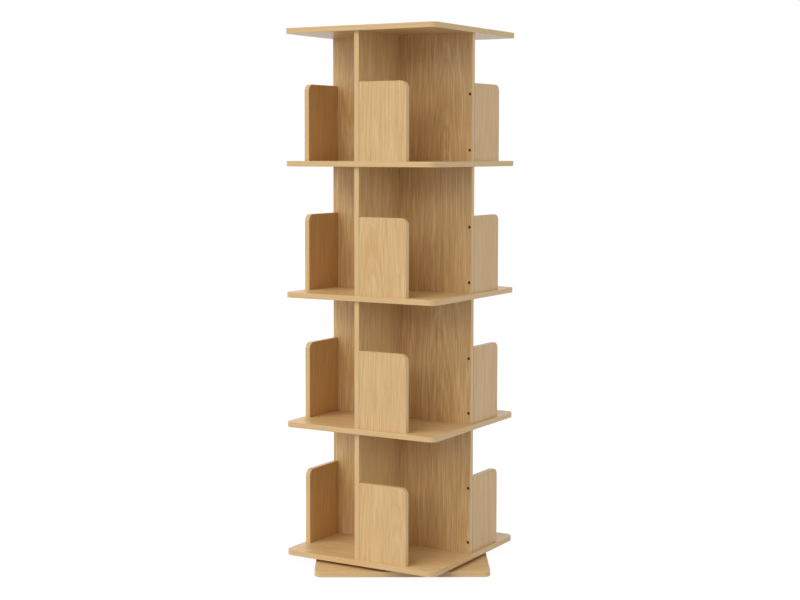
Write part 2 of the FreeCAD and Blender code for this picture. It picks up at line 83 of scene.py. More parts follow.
def hex_colour(code: str) -> tuple[float, float, float, float]:
    """Turns an sRGB hex code into a linear colour.

    Args:
        code: Six hex digits after a hash sign.

    Returns:
        Linear red, green, blue and an alpha of 1.
    """
    channels = [int(code[start:start + 2], 16) / 255 for start in (1, 3, 5)]
    linear = [c / 12.92 if c <= 0.04045 else ((c + 0.055) / 1.055) ** 2.4 for c in channels]
    return (*linear, 1.0)


def add_node(tree: Tree, kind: str, inputs: dict | None = None, **settings: Any) -> Any:
    """Adds a shader node, with its settings, its values and its links.

    Args:
        tree: The node tree that takes the node.
        kind: Blender's name of the node, without ShaderNode.
        inputs: Input name or number to a value, or to the output socket that feeds it.
        **settings: Properties of the node. For a colour ramp, stops gives its positions and
            hex colours.

    Returns:
        The new node.
    """
    node = tree.nodes.new(f"ShaderNode{kind}")
    stops = settings.pop("stops", ())
    for name, value in settings.items():
        setattr(node, name, value)
    for _ in stops[2:]:
        node.color_ramp.elements.new(1.0)
    for number, (position, code) in enumerate(stops):
        node.color_ramp.elements[number].position = position
        node.color_ramp.elements[number].color = hex_colour(code)
    for key, value in (inputs or {}).items():
        if isinstance(value, Socket):
            tree.links.new(value, node.inputs[key])
        else:
            node.inputs[key].default_value = value
    return node


def new_material(name: str) -> tuple[Material, Tree]:
    """Starts a material with an empty node tree.

    Args:
        name: The material's name.

    Returns:
        The material and its node tree.
    """
    material = bpy.data.materials.new(name)
    material.use_nodes = True
    material.node_tree.nodes.clear()
    return material, material.node_tree


def dress(piece: Piece, material: Material) -> None:
    """Gives every material slot of a piece one material.

    Args:
        piece: The piece, which gets a slot if it has none.
        material: The material.
    """
    if not piece.material_slots:
        piece.data.materials.append(material)
    for slot in piece.material_slots:
        slot.material = material


@dataclass(frozen=True)
class Streaks:
    """Noise with its own size along X, Y and Z, in millimetres."""

    x: float
    y: float
    z: float
    octaves: float = 1.0
    fineness: float = 0.5

    def lay(self, tree: Tree, place: Socket) -> Socket:
        """Lays the noise.

        Args:
            tree: The node tree that takes it.
            place: The place, in millimetres.

        Returns:
            The noise's value, from 0 to 1.
        """
        turns = (1 / self.x, 1 / self.y, 1 / self.z)
        drawn = add_node(tree, "VectorMath", {0: place, 1: turns}, operation="MULTIPLY").outputs[0]
        inputs = {"Vector": drawn, "Scale": 1.0, "Detail": self.octaves, "Roughness": self.fineness}
        return add_node(tree, "TexNoise", inputs).outputs[0]


@dataclass(frozen=True)
class Mottle:
    """Two colours that run into each other in patches, whose size is in millimetres.

    The second colour begins at one level of the noise and is full at another.
    """

    size: float
    octaves: float = 2.0
    begin: float = 0.35
    full: float = 0.65

    def lay(self, tree: Tree, place: Socket, first: str, second: str) -> tuple[Socket, Socket]:
        """Lays the patches.

        Args:
            tree: The node tree that takes them.
            place: The place, in millimetres.
            first: The first colour's hex code.
            second: The second colour's hex code.

        Returns:
            The noise's value, from 0 to 1, and the colour.
        """
        inputs = {"Vector": place, "Scale": 1 / self.size, "Detail": self.octaves}
        noise = add_node(tree, "TexNoise", inputs).outputs[0]
        stops = ((self.begin, first), (self.full, second))
        return noise, add_node(tree, "ValToRGB", {0: noise}, stops=stops).outputs[0]


@dataclass(frozen=True)
class Finish:
    """A finish that looks the same on every piece that has it.

    Its colour turns into another one in patches. Its texture, or the patches where it has none,
    can spread the roughness between two values and can stand out by a relief in millimetres. A
    metal keeps the shader's own index of refraction.
    """

    name: str
    colour: str
    patch_colour: str = ""
    patches: Mottle | None = None
    texture: Streaks | None = None
    roughness: float = 0.5
    other_roughness: float | None = None
    metallic: float = 0.0
    ior: float | None = None
    bump: float = 0.0
    relief: float = 0.0

    def material(self) -> Material:
        """Builds the material.

        Returns:
            The material.
        """
        material, tree = new_material(self.name)
        place = add_node(tree, "TexCoord").outputs["Object"]
        in_mm = add_node(tree, "VectorMath", {0: place, 3: 1 / MM}, operation="SCALE").outputs[0]
        texture, colour = self.paint(tree, in_mm)
        if self.texture:
            texture = self.texture.lay(tree, in_mm)
        inputs = {"Base Color": colour, "Metallic": self.metallic, "Roughness": self.roughness}
        if self.ior:
            inputs["IOR"] = self.ior
        if self.other_roughness:
            rough = {0: texture, 3: self.roughness, 4: self.other_roughness}
            inputs["Roughness"] = add_node(tree, "MapRange", rough).outputs[0]
        if self.bump:
            raised = {"Height": texture, "Strength": self.bump, "Distance": self.relief * MM}
            inputs["Normal"] = add_node(tree, "Bump", raised).outputs[0]
        shader = add_node(tree, "BsdfPrincipled", inputs)
        add_node(tree, "OutputMaterial", {0: shader.outputs[0]})
        return material

    def paint(self, tree: Tree, place: Socket) -> tuple[Socket | None, Any]:
        """Lays the colour.

        Args:
            tree: The material's node tree.
            place: The place on the object, in millimetres.

        Returns:
            The noise of the patches, if there are any, and the colour.
        """
        if self.patches:
            return self.patches.lay(tree, place, self.colour, self.patch_colour)
        return None, hex_colour(self.colour)


@dataclass(frozen=True)
class BronzePlatedSteel(Finish):
    """Cold-forged screws, plated dark bronze: brown-black, satin, paler where handling rubbed them."""

    name: str = "bronze_plated_steel"
    colour: str = "#4E4034"
    patch_colour: str = "#776655"
    patches: Mottle = Mottle(3.0, 4.0, 0.45, 0.75)
    roughness: float = 0.5
    other_roughness: float = 0.32
    metallic: float = 1.0


@dataclass(frozen=True)
class ZincPlatedSheet(Finish):
    """Rolled and pressed steel sheet, zinc plated: cool pale grey with faint rolling lines.

    Real rolling lines are finer. These are as coarse as they need to be to show.
    """

    name: str = "zinc_plated_sheet"
    colour: str = "#A9AFB3"
    patch_colour: str = "#BFC4C7"
    patches: Mottle = Mottle(9.0, 3.0)
    texture: Streaks = Streaks(50.0, 0.6, 0.6, 2.0)
    roughness: float = 0.27
    other_roughness: float = 0.41
    metallic: float = 1.0
    bump: float = 0.15
    relief: float = 0.05


@dataclass(frozen=True)
class PolishedBallSteel(Finish):
    """Ground and polished bearing balls: a mirror with smears of grease that dull it a little."""

    name: str = "polished_ball_steel"
    colour: str = "#D2D4D6"
    texture: Streaks = Streaks(1.5, 1.5, 1.5, 2.0)
    roughness: float = 0.08
    other_roughness: float = 0.26
    metallic: float = 1.0


@dataclass(frozen=True)
class MouldedPolyamide(Finish):
    """Natural polyamide, injection moulded: cream, slightly cloudy, with a spark-eroded matt grit.

    Real grit is finer. This is as coarse as it needs to be to show.
    """

    name: str = "moulded_polyamide"
    colour: str = "#D3CAB0"
    patch_colour: str = "#E3DCC6"
    patches: Mottle = Mottle(5.0)
    texture: Streaks = Streaks(0.4, 0.4, 0.4, 2.0)
    roughness: float = 0.5
    ior: float = 1.53
    bump: float = 0.3
    relief: float = 0.04


@dataclass(frozen=True)
class PadRubber(Finish):
    """Black sheet rubber, calendered and die cut: nearly black, matt, with dust in its grain.

    Real grain is finer. This is as coarse as it needs to be to show.
    """

    name: str = "pad_sheet_rubber"
    colour: str = "#232221"
    patch_colour: str = "#3A3936"
    patches: Mottle = Mottle(0.7, 3.0, 0.5, 0.75)
    roughness: float = 0.8
    ior: float = 1.52
    bump: float = 0.4
    relief: float = 0.1


@dataclass(frozen=True)
class TurnedBeech(Finish):
    """Steamed beech, turned and fluted, bare: pinkish tan with short dark flecks."""

    name: str = "turned_beech"
    colour: str = "#BE9166"
    patch_colour: str = "#D2AA7F"
    patches: Mottle = Mottle(14.0)
    roughness: float = 0.62
    ior: float = 1.5
    fleck: str = "#94663D"
    flecks: Streaks = Streaks(0.45, 0.45, 2.6)
    fleck_begin: float = 0.6
    fleck_full: float = 0.7

    def paint(self, tree: Tree, place: Socket) -> tuple[Socket | None, Any]:
        """Lays the wood, and over it flecks drawn out upwards.

        Args:
            tree: The material's node tree.
            place: The place on the object, in millimetres.

        Returns:
            The noise of the patches and the colour.
        """
        patches, wood = super().paint(tree, place)
        mask = {0: self.flecks.lay(tree, place), 1: self.fleck_begin, 2: self.fleck_full}
        layer = {0: add_node(tree, "MapRange", mask).outputs[0], 6: wood, 7: hex_colour(self.fleck)}
        return patches, add_node(tree, "Mix", layer, data_type="RGBA").outputs[2]


class Lie(Enum):
    """How a board lies: the directions of its grain, of its width and through its thickness."""

    FLAT = ((1, 0, 0), (0, 1, 0), (0, 0, 1))
    FACING_FRONT = ((0, 0, 1), (1, 0, 0), (0, 1, 0))
    FACING_SIDE = ((0, 0, 1), (0, -1, 0), (1, 0, 0))

    def turned(self, degrees: float) -> Euler:
        """The turn from the frame to the board's own directions, for a board turned about Z."""
        return (Matrix(self.value) @ Matrix.Rotation(math.radians(-degrees), 3, "Z")).to_euler()


@dataclass(frozen=True)
class Cut:
    """Where a board's decor paper was cut from the printed oak, in millimetres.

    A pith line close under the board's face gives nested arches, and one far to its side gives
    straight grain. The taper is that of the log, and it draws the arches out along the board. The
    contrast says how lively that stretch of the print is.
    """

    pith_aside: float
    pith_below: float
    taper: float = 0.02
    contrast: float = 1.0


# The boards on which the arches of a flat-sawn plank show. All others have straight grain.
FIGURED: dict[str, Cut] = {
    "tier1_front_bookend": Cut(45.0, 60.0, 0.05, 0.7),
    "tier3_front_bookend": Cut(-35.0, 60.0, 0.06, 0.85),
    "tier2_right_upright": Cut(20.0, 45.0, 0.08, 1.2),
    "tier4_right_upright": Cut(35.0, 50.0, 0.07, 1.15),
    "tier4_left_upright": Cut(-60.0, 60.0, -0.08, 1.15),
}


@dataclass(frozen=True)
class OakLaminate:
    """Light oak melamine on particle board, printed and pressed against a satin plate.

    The eye gets a pale honey oak: growth bands a few millimetres wide, fine fibres along them,
    short darker pores, and a satin sheen that turns bright only at a glancing angle. The edges
    have a matching plastic band, a little lighter and plainer. Oak's pores are about 0.3 mm wide
    and its fibres finer still; both are drawn as coarse as they need to show. The streaks' X runs
    along a board's grain, their Y across it and their Z through the board.
    """

    light: str = "#E4C694"
    middle: str = "#D3AE79"
    dark: str = "#C39963"
    pore: str = "#976E3F"
    band_light: str = "#DBBA86"
    band_dark: str = "#D0AB77"
    # Painted shadow: a dark line where another board butts on, standing for the shade in that joint.
    painted_joint_shadow: str = "#5A3A1C"
    rings: Streaks = Streaks(450.0, 3.2, 100.0, 2.0)
    lines: Streaks = Streaks(90.0, 2.6, 30.0, 1.0, 0.6)
    fibres: Streaks = Streaks(26.0, 0.8, 0.8, 2.0, 0.6)
    cloud: Streaks = Streaks(260.0, 60.0, 60.0)
    pores: Streaks = Streaks(20.0, 1.2, 1.2)
    band_lines: Streaks = Streaks(120.0, 120.0, 1.8, 2.0, 0.6)
    drift: Streaks = Streaks(320.0, 150.0, 150.0)
    ripple: Streaks = Streaks(70.0, 30.0, 30.0)
    drift_reach: float = 16.0
    ripple_reach: float = 2.4
    # What each pattern adds to the tone, and the tones that are dark, middle and light.
    ring_share: float = 0.40
    line_share: float = 0.56
    fibre_share: float = 0.14
    cloud_share: float = 0.10
    tones: tuple[float, float, float] = (0.32, 0.5, 0.68)
    band_tones: tuple[float, float] = (0.35, 0.65)
    # A pore begins at one level of its noise and is full at another. For late and early wood
    # there is a level of the rings' noise, and how dark a pore gets there.
    pore_begin: float = 0.60
    pore_full: float = 0.72
    late_wood: tuple[float, float] = (0.60, 0.05)
    early_wood: tuple[float, float] = (0.42, 0.3)
    # How far a surface's direction runs through the board tells the face from the edge. The seam
    # between laminate and band shows over a small range of that.
    face_from: float = 0.92
    edge_to: float = 0.85
    seam_at: float = 0.93
    seam_reach: float = 0.035
    seam_darkness: float = 0.4
    roughness: float = 0.34
    band_roughness: float = 0.3
    pore_roughness: float = 0.2
    pore_depth: float = 0.6
    ior: float = 1.5
    bump: float = 0.25
    relief: float = 0.05
    # How far the painted joint shadow reaches to each side of the joint, in millimetres.
    painted_joint_shadow_reach: float = 0.6
    seeds: tuple[float, float] = (200.0, 4000.0)

    def print_group(self) -> Tree:
        """Builds, once, the node group that paints any board.

        Returns:
            A group from a place and a direction on the board to colour, roughness and height.
        """
        built = bpy.data.node_groups.get("oak_laminate_print")
        if built:
            return built
        tree = bpy.data.node_groups.new("oak_laminate_print", "ShaderNodeTree")
        vectors = ("Place", "Facing", "Seed")
        numbers = ("Pith aside", "Pith below", "Taper", "Contrast", "Joint")
        for name in vectors + numbers:
            kind = "NodeSocketVector" if name in vectors else "NodeSocketFloat"
            tree.interface.new_socket(name, in_out="INPUT", socket_type=kind)
        for name in ("Colour", "Roughness", "Height"):
            kind = "NodeSocketColor" if name == "Colour" else "NodeSocketFloat"
            tree.interface.new_socket(name, in_out="OUTPUT", socket_type=kind)
        given = tree.nodes.new("NodeGroupInput").outputs
        result = tree.nodes.new("NodeGroupOutput").inputs

        seeded = add_node(tree, "VectorMath", {0: given["Place"], 1: given["Seed"]}).outputs[0]
        ring_place = self.ring_place(tree, given, seeded)
        rings = self.rings.lay(tree, ring_place)
        fibres = self.fibres.lay(tree, seeded)
        parts = (
            (rings, self.ring_share),
            (self.lines.lay(tree, seeded), self.line_share),
            (fibres, self.fibre_share),
            (self.cloud.lay(tree, seeded), self.cloud_share),
        )
        tone = -sum(share for _, share in parts) / 2
        for value, share in parts:
            total = {0: value, 1: share, 2: tone}
            tone = add_node(tree, "Math", total, operation="MULTIPLY_ADD").outputs[0]
        dark_tone, middle_tone, light_tone = self.tones
        lively = {0: tone, 1: given["Contrast"], 2: middle_tone}
        tone = add_node(tree, "Math", lively, operation="MULTIPLY_ADD").outputs[0]
        stops = ((dark_tone, self.dark), (middle_tone, self.middle), (light_tone, self.light))
        face = add_node(tree, "ValToRGB", {0: tone}, stops=stops).outputs[0]
        pores = self.pores.lay(tree, seeded)
        pores = {0: pores, 1: self.pore_begin, 2: self.pore_full}
        pores = add_node(tree, "MapRange", pores).outputs[0]
        (late, late_pores), (early, early_pores) = self.late_wood, self.early_wood
        season = {0: rings, 1: late, 2: early, 3: late_pores, 4: early_pores}
        season = add_node(tree, "MapRange", season).outputs[0]
        pores = add_node(tree, "Math", {0: pores, 1: season}, operation="MULTIPLY").outputs[0]

        # The band's print runs along the edge: it changes quickly only through the thickness.
        band = self.band_lines.lay(tree, seeded)
        stops = ((self.band_tones[0], self.band_dark), (self.band_tones[1], self.band_light))
        band = add_node(tree, "ValToRGB", {0: band}, stops=stops).outputs[0]
        facing = add_node(tree, "SeparateXYZ", {0: given["Facing"]}).outputs[2]
        facing = add_node(tree, "Math", {0: facing}, operation="ABSOLUTE").outputs[0]
        is_edge = {0: facing, 1: self.face_from, 2: self.edge_to}
        is_edge = add_node(tree, "MapRange", is_edge).outputs[0]
        seam = {0: facing, 1: self.seam_at, 2: self.seam_reach}
        seam = {0: add_node(tree, "Math", seam, operation="COMPARE").outputs[0], 1: self.seam_darkness}
        seam = add_node(tree, "Math", seam, operation="MULTIPLY").outputs[0]
        # Painted shadow: a thin dark line along the joint with the next board, for the shade that falls
        # into it.
        across = add_node(tree, "SeparateXYZ", {0: given["Place"]}).outputs[1]
        painted_joint_shadow = {0: across, 1: given["Joint"], 2: self.painted_joint_shadow_reach}
        painted_joint_shadow = add_node(tree, "Math", painted_joint_shadow, operation="COMPARE").outputs[0]
        pore_colour, painted_joint_shadow_colour = hex_colour(self.pore), hex_colour(self.painted_joint_shadow)
        layers = ((pores, pore_colour), (is_edge, band), (seam, pore_colour), (painted_joint_shadow, painted_joint_shadow_colour))
        colour = face
        for mask, over in layers:
            layer = {0: mask, 6: colour, 7: over}
            colour = add_node(tree, "Mix", layer, data_type="RGBA").outputs[2]
        rough = {0: is_edge, 3: self.roughness, 4: self.band_roughness}
        rough = add_node(tree, "MapRange", rough).outputs[0]
        rough = {0: pores, 1: self.pore_roughness, 2: rough}
        rough = add_node(tree, "Math", rough, operation="MULTIPLY_ADD").outputs[0]
        height = {0: pores, 1: -self.pore_depth, 2: fibres}
        height = add_node(tree, "Math", height, operation="MULTIPLY_ADD")
        on_face = add_node(tree, "Math", {0: 1.0, 1: is_edge}, operation="SUBTRACT").outputs[0]
        height = add_node(tree, "Math", {0: height.outputs[0], 1: on_face}, operation="MULTIPLY")
        tree.links.new(colour, result["Colour"])
        tree.links.new(rough, result["Roughness"])
        tree.links.new(height.outputs[0], result["Height"])
        return tree

    def ring_place(self, tree: Tree, given: Any, seeded: Socket) -> Socket:
        """Finds where a place is among the growth rings.

        Args:
            tree: The print's node tree.
            given: The group's inputs.
            seeded: The place with the board's own offset.

        Returns:
            A vector of the place along the board and its distance from the pith line.
        """
        place = add_node(tree, "SeparateXYZ", {0: given["Place"]}).outputs
        drift = {0: self.drift.lay(tree, seeded), 3: -self.drift_reach, 4: self.drift_reach}
        drift = add_node(tree, "MapRange", drift).outputs[0]
        ripple = {0: self.ripple.lay(tree, seeded), 3: -self.ripple_reach, 4: self.ripple_reach}
        ripple = add_node(tree, "MapRange", ripple).outputs[0]
        across = add_node(tree, "Math", {0: place[1], 1: given["Pith aside"]}, operation="SUBTRACT")
        across = add_node(tree, "Math", {0: across.outputs[0], 1: drift}, operation="ADD")
        below = add_node(tree, "Math", {0: place[2], 1: given["Pith below"]}, operation="ADD")
        flat = add_node(tree, "CombineXYZ", {0: across.outputs[0], 1: below.outputs[0]}).outputs[0]
        radius = add_node(tree, "VectorMath", {0: flat}, operation="LENGTH").outputs["Value"]
        taper = {0: place[0], 1: given["Taper"], 2: ripple}
        along = add_node(tree, "Math", taper, operation="MULTIPLY_ADD").outputs[0]
        ring = add_node(tree, "Math", {0: radius, 1: along}, operation="ADD").outputs[0]
        ring = add_node(tree, "CombineXYZ", {0: place[0], 1: ring}).outputs[0]
        return add_node(tree, "VectorMath", {0: ring, 1: given["Seed"]}).outputs[0]

    def board(
        self, name: str, lie: Lie, degrees: float, cut: Cut, joint: float = NO_JOINT
    ) -> Material:
        """Makes one board's material: the shared print, laid in the board's own directions.

        Args:
            name: The board's node.
            lie: How the board lies.
            degrees: How far it is turned about Z.
            cut: Where it was cut from the print.
            joint: Where a painted shadow of the joint runs along it, across from its middle.

        Returns:
            The material.
        """
        material, tree = new_material(f"oak_laminate_{name}")
        source = add_node(tree, "TexCoord").outputs
        turn = lie.turned(degrees)
        low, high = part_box(name)
        from_middle = add_node(
            tree, "VectorMath", {0: source["Object"], 1: (low + high) / 2}, operation="SUBTRACT"
        ).outputs[0]
        in_mm = (1 / MM, 1 / MM, 1 / MM)
        place = add_node(tree, "Mapping", {"Vector": from_middle, "Rotation": turn, "Scale": in_mm})
        facing = add_node(tree, "Mapping", {"Vector": source["Normal"], "Rotation": turn})
        draw = random.Random(name)
        inputs = {
            "Place": place.outputs[0],
            "Facing": facing.outputs[0],
            "Seed": [draw.uniform(*self.seeds) for _ in range(3)],
            "Pith aside": cut.pith_aside,
            "Pith below": cut.pith_below,
            "Taper": cut.taper,
            "Contrast": cut.contrast,
            "Joint": joint,
        }
        paint = add_node(tree, "Group", inputs, node_tree=self.print_group()).outputs
        relief = {"Height": paint["Height"], "Strength": self.bump, "Distance": self.relief * MM}
        inputs = {
            "Base Color": paint["Colour"],
            "Roughness": paint["Roughness"],
            "IOR": self.ior,
            "Normal": add_node(tree, "Bump", relief).outputs[0],
        }
        shader = add_node(tree, "BsdfPrincipled", inputs)
        add_node(tree, "OutputMaterial", {0: shader.outputs[0]})
        return material


def circle(radius: float) -> Radius:
    """A radius that is the same at any angle."""
    return lambda turn: radius


def ring(steps: int, radius: Radius, height: float) -> list[Vector]:
    """Makes a ring of points about Z.

    Args:
        steps: How many points.
        radius: Gives the radius at an angle in turns.
        height: The ring's place along Z.

    Returns:
        The points.
    """
    points = []
    for step in range(steps):
        turn = step / steps
        reach, angle = radius(turn), math.tau * turn
        points.append(Vector((reach * math.cos(angle), reach * math.sin(angle), height)))
    return points


@dataclass
class Shape:
    """The points and faces of one mesh while it is being made, in millimetres."""

    points: list[Vector] = field(default_factory=list)
    faces: list[tuple[int, ...]] = field(default_factory=list)

    def skin(self, rings: list[list[Vector]]) -> "Shape":
        """Skins a stack of rings and closes both its ends with a fan.

        Args:
            rings: Rings with equal numbers of points, anticlockwise seen from +Z.

        Returns:
            The shape itself.
        """
        count, start = len(rings[0]), len(self.points)
        for points in rings:
            self.points.extend(points)
        for level in range(len(rings) - 1):
            for step in range(count):
                near = start + level * count + step
                far = start + level * count + (step + 1) % count
                self.faces.append((near, far, far + count, near + count))
        for level, points in ((0, rings[0]), (len(rings) - 1, rings[-1])):
            self.points.append(sum(points, Vector()) / count)
            hub = len(self.points) - 1
            for step in range(count):
                near = start + level * count + step
                far = start + level * count + (step + 1) % count
                self.faces.append((hub, near, far) if level else (hub, far, near))
        return self

    def placed(self, places: list[Matrix]) -> "Shape":
        """Copies the shape to each of the places.

        Args:
            places: The turns and shifts, in millimetres.

        Returns:
            One shape with all the copies.
        """
        result = Shape()
        for place in places:
            start = len(result.points)
            result.points.extend(place @ point for point in self.points)
            result.faces.extend(tuple(index + start for index in face) for face in self.faces)
        return result

    def piece(self, name: str, material: Material) -> Piece:
        """Makes the object, with smooth faces and crisp edges.

        Args:
            name: The piece's name.
            material: Its material.

        Returns:
            The object, linked into the scene.
        """
        mesh = bpy.data.meshes.new(name)
        mesh.from_pydata([point * MM for point in self.points], [], self.faces)
        mesh.shade_smooth()
        mesh.set_sharp_from_angle(angle=math.radians(SHARP_ANGLE))
        piece = bpy.data.objects.new(name, mesh)
        bpy.context.scene.collection.objects.link(piece)
        dress(piece, material)
        return piece


@dataclass(frozen=True)
class Spot:
    """Where one fastener sits: the middle of its first end, and the way it runs."""

    start: Vector
    direction: Vector

    def place(self) -> Matrix:
        """The turn and shift for a fastener made along Z from the origin."""
        turn = self.direction.to_track_quat("Z", "X").to_matrix().to_4x4()
        return Matrix.Translation(self.start) @ turn

    @classmethod
    def of_solid(cls, points: list[Vector]) -> "Spot":
        """Finds the spot of one straight fastener, which starts at its wider end.

        Args:
            points: The points of its solid, in millimetres.

        Returns:
            The spot.
        """
        low = Vector([min(point[axis] for point in points) for axis in range(3)])
        high = Vector([max(point[axis] for point in points) for axis in range(3)])
        middle, size = (low + high) / 2, high - low
        axis = max(range(3), key=lambda number: size[number])
        direction = Vector([float(number == axis) for number in range(3)])
        heights = [(point - middle).dot(direction) for point in points]
        reaches = [(point - middle - direction * h).length for point, h in zip(points, heights)]
        widest = max(reaches)
        wide = [height for height, reach in zip(heights, reaches) if reach > widest - WIDEST_BAND]
        if sum(wide) / len(wide) > HEAD_OFFSET:
            direction = -direction
        return cls(middle - direction * size[axis] / 2, direction)


def spots_of(node: Piece) -> list[Spot]:
    """Finds the fasteners of a node made of separate straight ones.

    Args:
        node: The node.

    Returns:
        A spot for each of its solids.
    """
    keys = [tuple(round(value / MM, 3) for value in vertex.co) for vertex in node.data.vertices]
    leader = {key: key for key in keys}

    def find(key: tuple) -> tuple:
        """Finds the point that stands for a point's solid.

        Args:
            key: The point.

        Returns:
            The point that stands for its solid so far.
        """
        while leader[key] != key:
            leader[key] = leader[leader[key]]
            key = leader[key]
        return key

    for polygon in node.data.polygons:
        first, *others = (find(keys[index]) for index in polygon.vertices)
        for other in others:
            leader[find(other)] = find(first)
    solids: dict[tuple, list[Vector]] = {}
    for key in leader:
        solids.setdefault(find(key), []).append(Vector(key))
    return [Spot.of_solid(points) for _, points in sorted(solids.items())]


@dataclass(frozen=True)
class Thread:
    """A thread that winds round a core and ends in a point.

    The flank is how steeply the ridge rises from the core. Above 1 it leaves the crest flat.
    """

    core: float
    crest: float
    pitch: float
    rows_a_turn: int = 4
    flank: float = 1.35
    tip_radius: float = 0.12

    def rings(self, steps: int, start: float, end: float, point: float) -> list[list[Vector]]:
        """Makes the threaded rings and those of the point.

        Args:
            steps: Points in a ring.
            start: Where the thread starts, along the screw.
            end: Where the full thread ends and the point starts.
            point: Length of the point.

        Returns:
            The rings.
        """
        reach = end + point - start
        count = round(reach / self.pitch * self.rows_a_turn)
        return [
            ring(steps, self.radius(height, start, end, point), height)
            for height in (start + reach * row / count for row in range(count + 1))
        ]

    def radius(self, height: float, start: float, end: float, point: float) -> Radius:
        """Gives the thread's radius round one ring: it rises from the core and shrinks at the point.

        Args:
            height: The ring's place along the screw.
            start: Where the thread starts.
            end: Where the full thread ends.
            point: Length of the point.

        Returns:
            The radius at an angle in turns.
        """
        taper = min(1.0, (end + point - height) / point)
        rise = min(1.0, (height - start) / self.pitch)

        def at(turn: float) -> float:
            """Finds the radius at an angle in turns, where the ridge winds up by a pitch a turn."""
            ridge = min(1.0, self.flank * abs(2 * ((height / self.pitch - turn) % 1.0) - 1)) * rise
            return max(self.tip_radius, taper * (self.core + (self.crest - self.core) * ridge))

        return at


@dataclass(frozen=True)
class SocketScrew:
    """A countersunk furniture screw with a hexagon socket.

    The socket ends in a drilled cone, at whose bottom a share of its width is left. Under the
    head the shank is plain, narrows to the core over one step, and the thread starts after another.
    """

    head_radius: float = 4.25
    head_height: float = 2.2
    shank: float = 2.5
    core: float = 1.75
    length: float = 48.0
    point: float = 4.0
    pitch: float = 3.0
    socket: float = 1.8
    socket_depth: float = 2.0
    cone: float = 0.4
    cone_share: float = 0.3
    rim: float = 0.2
    plain: float = 3.0
    step: float = 0.6
    steps: int = 18

    def hexagon(self, scale: float) -> Radius:
        """The socket's radius at an angle, for a share of its size."""
        flat = scale * self.socket * math.cos(math.pi / 6)
        return lambda turn: flat / math.cos(math.tau * (turn % (1 / 6) - 1 / 12))

    def shape(self) -> Shape:
        """Makes the screw along Z, its head's face at the origin.

        Returns:
            The screw.
        """
        under = self.head_height
        narrow = under + self.plain + self.step
        profile = (
            (self.hexagon(self.cone_share), self.socket_depth),
            (self.hexagon(1.0), self.socket_depth - self.cone),
            (self.hexagon(1.0), self.rim),
            (circle(self.socket + self.rim), 0.0),
            (circle(self.head_radius - self.rim), 0.0),
            (circle(self.head_radius), self.rim),
            (circle(self.shank), under),
            (circle(self.shank), under + self.plain),
            (circle(self.core), narrow),
        )
        rings = [ring(self.steps, radius, height) for radius, height in profile]
        thread = Thread(self.core, self.shank, self.pitch)
        rings += thread.rings(self.steps, narrow + self.step, self.length - self.point, self.point)
        return Shape().skin(rings)


@dataclass(frozen=True)
class CrossScrew:
    """A short screw with a low round head and a cross recess, for the bearing plates.

    The dome goes from the top of the head down, in shares of its radius and of its height. The
    floor share is what is left of the recess's width at its bottom.
    """

    head_radius: float = 3.8
    head_height: float = 1.4
    shank: float = 2.0
    core: float = 1.4
    length: float = 12.4
    point: float = 3.0
    pitch: float = 1.8
    arm: float = 2.0
    arm_half_width: float = 0.55
    recess: float = 0.9
    recess_rim: float = 0.15
    floor_share: float = 0.4
    dome: tuple[tuple[float, float], ...] = ((0.62, 0.0), (0.86, 0.25), (1.0, 0.72), (1.0, 1.0))
    plain: float = 1.6
    step: float = 0.2
    steps: int = 24

    def cross(self, scale: float) -> Radius:
        """Gives the recess's outline, for a share of its size.

        Args:
            scale: The share.

        Returns:
            The radius at an angle in turns.
        """

        def at(turn: float) -> float:
            """Finds the radius at an angle in turns: that of the arm's side, up to the arm's end."""
            aside = abs(math.sin(math.tau * ((turn + 1 / 8) % (1 / 4) - 1 / 8)))
            return scale * self.arm_half_width / max(aside, self.arm_half_width / self.arm)

        return at

    def shape(self) -> Shape:
        """Makes the screw along Z, the top of its head at the origin.

        Returns:
            The screw.
        """
        head, under = self.head_radius, self.head_height
        narrow = under + self.plain
        profile = (
            (self.cross(self.floor_share), self.recess),
            (self.cross(1.0), self.recess_rim),
            *((circle(wide * head), deep * under) for wide, deep in self.dome),
            (circle(self.shank), under),
            (circle(self.core), narrow),
        )
        rings = [ring(self.steps, radius, height) for radius, height in profile]
        thread = Thread(self.core, self.shank, self.pitch)
        rings += thread.rings(self.steps, narrow + self.step, self.length - self.point, self.point)
        return Shape().skin(rings)


@dataclass(frozen=True)
class FlutedDowel:
    """A beech dowel with straight flutes for the glue, and chamfered ends."""

    radius: float = 4.0
    length: float = 30.0
    flutes: int = 20
    flute_depth: float = 0.3
    chamfer: float = 1.0
    chamfer_depth: float = 0.7

    def shape(self) -> Shape:
        """Makes the dowel along Z from the origin.

        Returns:
            The dowel.
        """
        steps = self.flutes * 2
        tip = circle(self.radius - self.flute_depth - self.chamfer_depth)

        def fluted(turn: float) -> float:
            """The radius at an angle: every other point is in a flute."""
            return self.radius - self.flute_depth * (round(turn * steps) % 2)

        profile = (
            (tip, 0.0),
            (fluted, self.chamfer),
            (fluted, self.length - self.chamfer),
            (tip, self.length),
        )
        return Shape().skin([ring(steps, radius, height) for radius, height in profile])


def refit(node: Piece, shape: Shape, body: str, material: Material) -> Piece:
    """Puts a detailed fastener at each spot of a node and lets the new piece stand for it.

    Args:
        node: The node.
        shape: The fastener, along Z from the origin.
        body: The body that it rides on.
        material: Its material.

    Returns:
        The new piece.
    """
    places = [spot.place() for spot in spots_of(node)]
    piece = shape.placed(places).piece(f"detailed_{node.name}", material)
    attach(piece, body)
    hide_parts(node.name)
    LOG.info("%s: %d fasteners on the %s", piece.name, len(places), body)
    return piece


